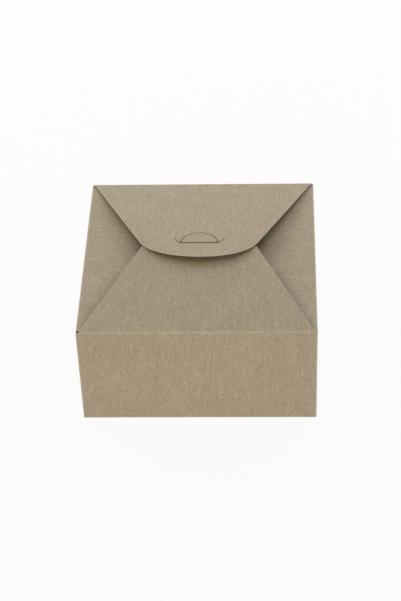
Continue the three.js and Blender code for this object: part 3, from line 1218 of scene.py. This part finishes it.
def base_lift(side):
    """The hook rises over the other panel, and the tab over the diagonal crease."""
    def lift(u, v):
        inwards = side["from_base"] - v
        on_hook = smooth_step(HOOK_ROOT, HOOK_ROOT + STEP_RUN, inwards)
        on_hook = on_hook * (u > 0) * (u < HOOK_HALF + LIFT_MARGIN)
        past_fold = (u + inwards - DIAGONAL) / math.sqrt(2)
        on_tab = smooth_step(TAB_STEP, TAB_STEP + STEP_RUN, past_fold)
        on_tab = on_tab * (inwards > LIFT_START) * (u > HOOK_HALF - LIFT_MARGIN)
        return -BOARD * np.maximum(on_hook * (on_tab < 0.5), on_tab)

    return lift


def on_diagonal(side):
    """Tests whether an edge lies on the diagonal crease."""
    def test(a, b):
        return all(
            abs(p[0] - side["middle"] + side["from_base"] - p[1] - DIAGONAL) < 2 * CLOSE
            for p in (a, b)
        )

    return test


def build_base(name, kind, board, outline, rows, joined, folds, lift=None, **options):
    """A panel or tab of the base, which hangs from one wall."""
    side = SIDES[name]
    piece = board_piece(
        "base_" + name + board,
        [base_blank(side, outline)],
        fold_surface(side, lift),
        joined=joined,
        rows=rows,
        folds=folds,
        **options,
    )
    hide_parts("base_" + name + kind)
    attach(piece, "carcass")


def build_outer_base(name):
    side = SIDES[name]
    low, high = BASE_ROOTS[name]
    top_low, top_high = BASE_ENDS[name]
    top = side["from_base"] - side["wall_bottom"]
    outline = [
        (top_low, top),
        (low, ROOT_CUT),
        (-BASE_EDGE, OUTER_START),
        (-BASE_EDGE, OUTER_SHOULDER),
        (-OUTER_TIP_EDGE, OUTER_TIP),
        (-HOOK_GAP, OUTER_TIP),
        (-HOOK_GAP, HOOK_ROOT),
        (HOOK_GAP, HOOK_ROOT),
        (HOOK_GAP, HOOK_TIP - HOOK_CUT),
        (HOOK_GAP + HOOK_CUT, HOOK_TIP),
        (HOOK_HALF - HOOK_CORNER, HOOK_TIP),
        (HOOK_HALF, HOOK_TIP - HOOK_CORNER),
        (HOOK_HALF, DIAGONAL - HOOK_HALF),
        (DIAGONAL - DIAGONAL_START, DIAGONAL_START),
        (high, ROOT_CUT),
        (top_high, top),
    ]
    rows = bend_rows(side) + base_rows(side, FIRST_ROW, OUTER_TIP, ROW_STEP)
    rows += base_rows(side, HOOK_ROOT, HOOK_ROOT + STEP_RUN, STEP_RUN / FOLD_STEPS)
    joined = [on_row(side["wall_bottom"]), on_diagonal(side)]
    folds = [fold_line(side, "bottom_crease", low, high), base_blank(side, DIAGONAL_FOLD)]
    lift = base_lift(side)
    build_base(name, "_panel", "_board", outline, rows, joined, folds, lift, inner_step=2)


def build_tab(name):
    side = SIDES[name]
    outline = [
        (DIAGONAL - DIAGONAL_START, DIAGONAL_START),
        (HOOK_HALF + TAB_GAP, DIAGONAL - HOOK_HALF - TAB_GAP),
        (TAB_INNER - TAB_SLANT[0], TAB_END - TAB_SLANT[1]),
        (TAB_INNER, TAB_END),
        (TAB_EDGE - TAB_CORNER, TAB_END),
        (TAB_EDGE, TAB_END - TAB_CORNER),
        (TAB_EDGE, TAB_CORNER),
    ]
    rows = base_rows(side, DIAGONAL_START, TAB_END, TAB_ROW_STEP)
    folds = [base_blank(side, DIAGONAL_FOLD)]
    joined = [on_diagonal(side)]
    build_base(name, "_tab", "_tab_board", outline, rows, joined, folds, base_lift(side))


def build_inner_base(name):
    side = SIDES[name]
    half = BASE_ENDS[name][1]
    top = side["from_base"] - side["wall_bottom"]
    slanted = INNER_REACH - INNER_CORNER
    right = [
        (half - INNER_TAPER - INNER_CORNER, INNER_REACH),
        (half - slanted * (INNER_TAPER / INNER_REACH), slanted),
        (half, INNER_START),
        (half, top),
    ]
    outline = [(-u, inwards) for u, inwards in reversed(right)] + right
    rows = bend_rows(side) + base_rows(side, FIRST_ROW, INNER_REACH, ROW_STEP)
    joined = [on_row(side["wall_bottom"])]
    folds = [fold_line(side, "bottom_crease", -half, half)]
    build_base(name, "_panel", "_board", outline, rows, joined, folds, inner_step=2)


def build_seam_flap():
    low, high = (corner.z for corner in size_of("seam_flap"))
    fold = corner_middles[0]
    outline = [(0.0, low + SEAM_TAPER), (fold, low), (fold, high), (0.0, high - SEAM_TAPER)]
    piece = board_piece(
        "seam_flap_board",
        [outline],
        sleeve_surface(lambda u, v: np.zeros_like(u)),
        joined=[on_column(fold)],
        rows=even_rows(low, high, ROW_STEP),
        extra_columns=corner_columns(),
        folds=[((fold, low), (fold, high))],
    )
    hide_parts("seam_flap")
    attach(piece, "carcass")


for name in ("front", "rear"):
    build_outer_base(name)
    build_tab(name)
for name in ("right", "left"):
    build_inner_base(name)
build_seam_flap()


# Materials
def feed(tree, node, inputs):
    """Links each of a node's inputs to a socket, or sets it to a value."""
    for name, value in inputs.items():
        if isinstance(value, bpy.types.NodeSocket):
            tree.links.new(value, node.inputs[name])
        else:
            node.inputs[name].default_value = value


def new_node(tree, kind, inputs, **settings):
    node = tree.nodes.new(kind)
    for name, value in settings.items():
        setattr(node, name, value)
    feed(tree, node, inputs)
    return node


def new_material(name):
    material = bpy.data.materials.new(name)
    material.use_nodes = True
    return material, material.node_tree, material.node_tree.nodes["Principled BSDF"]


def attribute_value(tree, name, output="Fac"):
    return new_node(tree, "ShaderNodeAttribute", {}, attribute_name=name).outputs[output]


def maths(tree, operation, a, b=0.0, c=None):
    inputs = {0: a, 1: b} if c is None else {0: a, 1: b, 2: c}
    return new_node(tree, "ShaderNodeMath", inputs, operation=operation).outputs[0]


def ramp(tree, value, low, high, to_low=0.0, to_high=1.0):
    names = ("Value", "From Min", "From Max", "To Min", "To Max")
    inputs = dict(zip(names, (value, low, high, to_low, to_high)))
    return new_node(tree, "ShaderNodeMapRange", inputs, clamp=True).outputs["Result"]


def noise_value(tree, vector, scale, detail, roughness, stretch=None):
    """Noise at a place, which may be stretched first."""
    if stretch is not None:
        inputs = {0: vector, 1: stretch}
        vector = new_node(tree, "ShaderNodeVectorMath", inputs, operation="MULTIPLY").outputs[0]
    inputs = {"Vector": vector, "Scale": scale, "Detail": detail, "Roughness": roughness}
    return new_node(tree, "ShaderNodeTexNoise", inputs).outputs["Fac"]


def mixed(tree, share, a, b):
    inputs = {"Factor": share, 6: a, 7: b}
    return new_node(tree, "ShaderNodeMix", inputs, data_type="RGBA").outputs[2]


def bump(tree, height, strength, distance):
    inputs = {"Height": height, "Strength": strength, "Distance": distance}
    return new_node(tree, "ShaderNodeBump", inputs).outputs["Normal"]


KRAFT_DARK = (0.250, 0.203, 0.142, 1)
KRAFT_LIGHT = (0.640, 0.524, 0.378, 1)
KRAFT_GREY = (0.425, 0.364, 0.281, 1)
KRAFT_INSIDE = (0.40, 0.315, 0.205, 1)
KRAFT_FIBRE = (0.22, 0.165, 0.10, 1)
# Pale flecks and wear, also the painted highlight along folds and cut edges
KRAFT_PALE_AND_HIGHLIGHT = (0.66, 0.575, 0.455, 1)
# Cut edge: paler raw board, made paler still as a painted highlight
KRAFT_CUT_AND_HIGHLIGHT = (0.74, 0.66, 0.54, 1)
# Colour of the painted shade in the slit and round the tongue
PAINTED_SHADE_COLOUR = (0.030, 0.020, 0.012, 1)
GLUE_LIGHT = (0.72, 0.66, 0.52, 1)
GLUE_DARK = (0.60, 0.50, 0.34, 1)
GLUE_BUMP = (0.4, 0.0002)
KRAFT_BUMP = (0.45, 0.00006)
KRAFT_SPECULAR = 0.28
# How dark the painted shade in the rib valleys is
VALLEY_PAINTED_SHADE = 0.42
INSIDE_SHARE = 0.6
RIB_TONE_STEP = 3.73
RIB_TONE_RUN = 0.06

# Noise of the board: scale, detail, roughness, and how the blank is stretched for it
KRAFT_NOISE = (
    (1.35, 2.0, 0.6, (1.0, 0.62, 1.0)),  # grain
    (1.1, 2.0, 0.5, (1.0, 0.12, 1.0)),  # streaks along the ribs
    (0.05, 3.0, 0.55, (1.0, 0.8, 1.0)),  # clouds
    (0.16, 3.0, 0.6, (1.0, 0.9, 2.0)),  # greyer places
    (4.5, 4.0, 0.65, (1.0, 0.35, 1.0)),  # fibres
    (1.9, 5.0, 0.6, (1.0, 0.55, 3.0)),  # flecks
)


def make_kraft():
    """Kraft board: ribs, streaks along them, fibres, cloudy tone, worn folds and pale cut edges,
    both with a painted highlight, and painted shade in the rib valleys, the slit and round the
    tongue.
    """
    material, tree, shader = new_material("ribbed_kraft_board")
    blank = attribute_value(tree, "blank", "Vector")
    x, y, outside = new_node(tree, "ShaderNodeSeparateXYZ", {0: blank}).outputs
    crest, cut, from_cut, from_fold, shade = (
        attribute_value(tree, name)
        for name in ("crest", "cut_edge", "from_cut", "from_fold", "shade")
    )
    grain, streak, cloud, hue, fibre, fleck = (noise_value(tree, blank, *n) for n in KRAFT_NOISE)
    rib = maths(tree, "FLOOR", maths(tree, "MULTIPLY_ADD", x, 1 / RIB_PITCH, 0.5))
    along_rib = new_node(tree, "ShaderNodeCombineXYZ", {
        "X": maths(tree, "MULTIPLY", rib, RIB_TONE_STEP),
        "Y": maths(tree, "MULTIPLY", y, RIB_TONE_RUN),
    })
    rib_tone = noise_value(tree, along_rib.outputs[0], 1.0, 2.0, 0.5)

    tone = maths(tree, "MULTIPLY", ramp(tree, grain, 0.36, 0.64), 0.5)
    for value, low, high, share in (
        (rib_tone, 0.3, 0.7, 0.14),
        (streak, 0.34, 0.66, 0.16),
        (cloud, 0.3, 0.7, 0.10),
        (fibre, 0.3, 0.7, 0.10),
    ):
        tone = maths(tree, "MULTIPLY_ADD", ramp(tree, value, low, high), share, tone)
    outer_colour = mixed(tree, tone, KRAFT_DARK, KRAFT_LIGHT)
    outer_colour = mixed(tree, ramp(tree, hue, 0.42, 0.66, 0.0, 0.6), outer_colour, KRAFT_GREY)
    # Rib valleys darker: painted shade in the grooves between the ribs
    painted_valley_shade = maths(tree, "MULTIPLY", maths(tree, "SUBTRACT", 1.0, crest), VALLEY_PAINTED_SHADE)
    outer_colour = mixed(tree, painted_valley_shade, outer_colour, KRAFT_DARK)
    inner_tone = maths(tree, "MULTIPLY_ADD", grain, 0.5, maths(tree, "MULTIPLY", cloud, 0.5))
    inner_colour = mixed(tree, inner_tone, KRAFT_DARK, KRAFT_LIGHT)
    inner_colour = mixed(tree, INSIDE_SHARE, inner_colour, KRAFT_INSIDE)
    colour = mixed(tree, outside, inner_colour, outer_colour)
    colour = mixed(tree, ramp(tree, fleck, 0.66, 0.74, 0.0, 0.55), colour, KRAFT_FIBRE)
    colour = mixed(tree, ramp(tree, fleck, 0.33, 0.25, 0.0, 0.4), colour, KRAFT_PALE_AND_HIGHLIGHT)

    # Paler near folds and cut edges: partly wear, partly a painted highlight along creases and edges
    patchy = ramp(tree, noise_value(tree, blank, 0.35, 4.0, 0.65), 0.3, 0.65, 0.45, 1.0)
    fold_wear_and_highlight = maths(tree, "MULTIPLY", ramp(tree, from_fold, 0.0, 1.2, 0.6, 0.0), patchy)
    edge_wear_and_highlight = maths(tree, "MULTIPLY", ramp(tree, from_cut, 0.0, 0.45, 0.55, 0.0), patchy)
    colour = mixed(tree, maths(tree, "MAXIMUM", fold_wear_and_highlight, edge_wear_and_highlight), colour, KRAFT_PALE_AND_HIGHLIGHT)
    # Cut edges paler: raw board, and partly a painted highlight
    cut_tone_and_highlight = maths(tree, "MULTIPLY", cut, ramp(tree, fibre, 0.2, 0.8, 0.7, 1.0))
    colour = mixed(tree, cut_tone_and_highlight, colour, KRAFT_CUT_AND_HIGHLIGHT)
    # Painted shade in the slit and round the tongue, on the outer face only
    colour = mixed(tree, maths(tree, "MULTIPLY", shade, outside), colour, PAINTED_SHADE_COLOUR)
    height = maths(tree, "MULTIPLY_ADD", fibre, 0.6, maths(tree, "MULTIPLY", fleck, 0.5))
    feed(tree, shader, {
        "Base Color": colour,
        "Roughness": ramp(tree, fibre, 0.2, 0.8, 0.74, 0.9),
        "Specular IOR Level": KRAFT_SPECULAR,
        "Normal": bump(tree, height, *KRAFT_BUMP),
    })
    return material


def make_glue():
    """Dried white glue, a little cloudy and pitted."""
    material, tree, shader = new_material("dried_glue_film")
    place = new_node(tree, "ShaderNodeTexCoord", {}).outputs["Object"]
    cloud = noise_value(tree, place, 180.0, 3.0, 0.6)
    feed(tree, shader, {
        "Base Color": mixed(tree, ramp(tree, cloud, 0.3, 0.7), GLUE_LIGHT, GLUE_DARK),
        "Roughness": ramp(tree, cloud, 0.3, 0.7, 0.3, 0.5),
        "Normal": bump(tree, cloud, *GLUE_BUMP),
    })
    return material


def dress():
    kraft, glue = make_kraft(), make_glue()
    for thing in bpy.data.objects:
        if thing.type == "MESH" and thing.get("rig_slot") == "ribbed_kraft":
            thing.data.materials.append(kraft)
    for name in ("seam_glue", "base_front_glue", "base_rear_glue"):
        frame["nodes"][name].material_slots[0].material = glue


dress()


# Floor and lamps, in metres from the box's middle
FLOOR_REACH = 30.0
# Reach of the grey patch under the box, a painted shadow
PAINTED_SHADOW_REACH = 0.0798
FLOOR_GLOW = 0.942
FLOOR_LIT = (0.03, 0.03, 0.03, 1)
# Grey of the painted shadow under the box
FLOOR_PAINTED_SHADOW = (0.6, 0.6, 0.6, 1)
FLOOR_ROUGHNESS = 0.9
FLOOR_SPECULAR = 0.05
WHITE = (1, 1, 1, 1)


def make_floor():
    """A white floor that glows, as a lit table does, but not where the box stands on it: there a
    grey patch that doesn't glow is a painted shadow.
    """
    corners = [(x, y, 0) for half in (FLOOR_REACH, PAINTED_SHADOW_REACH)
               for x, y in ((-half, -half), (half, -half), (half, half), (-half, half))]
    around = [(i, (i + 1) % 4, 4 + (i + 1) % 4, 4 + i) for i in range(4)]
    for name, faces, paint, glow in (
        ("floor", around, FLOOR_LIT, FLOOR_GLOW),
        ("floor_under_box", [(4, 5, 6, 7)], FLOOR_PAINTED_SHADOW, 0.0),
    ):
        data = bpy.data.meshes.new(name)
        data.from_pydata(corners, [], faces)
        floor = add_object(name, data)
        material, tree, shader = new_material(name + "_paint")
        feed(tree, shader, {
            "Base Color": paint,
            "Roughness": FLOOR_ROUGHNESS,
            "Specular IOR Level": FLOOR_SPECULAR,
            "Emission Color": WHITE,
            "Emission Strength": glow,
        })
        data.materials.append(material)


# Each lamp's name, place, width, and watts of red, green and blue
SOFT_BOXES = (
    ("above", (0, 0, 1.6), 1.2, (5.4, 5.0, 4.6)),
    ("behind_high", (0, 1.3, 1.2), 1.2, (5.6, 6.4, 7.8)),
    ("behind_low", (0, 1.6, 0.45), 0.8, (5.8, 4.6, 2.9)),
    ("left", (-1.5, 0.1, 0.8), 1.0, (5.0, 3.4, 0.8)),
    ("before_low", (0, -1.6, 0.5), 0.8, (9.5, 8.5, 7.0)),
    ("behind_left", (-1.0, 1.0, 1.0), 1.0, (7.9, 9.9, 10.9)),
    ("behind_right", (1.0, 1.0, 1.0), 1.0, (7.7, 7.5, 7.9)),
)
LAMPS_FACE = Vector((0, 0, 0.05))
WORLD_STRENGTH = 0.15


def make_lights():
    """Square lamps that face the box. The power of each is given for red, green and blue."""
    world = bpy.data.worlds.new("studio")
    bpy.context.scene.world = world
    world.use_nodes = True
    background = world.node_tree.nodes["Background"]
    feed(world.node_tree, background, {"Color": WHITE, "Strength": WORLD_STRENGTH})
    for name, place, width, power in SOFT_BOXES:
        data = bpy.data.lights.new(name, "AREA")
        data.size = width
        data.energy = max(power)
        data.color = [share / max(power) for share in power]
        light = add_object(name, data)
        light.location = place
        light.rotation_euler = (LAMPS_FACE - Vector(place)).to_track_quat("-Z", "Y").to_euler()


make_floor()
make_lights()
bpy.context.scene.view_settings.view_transform = "Standard"
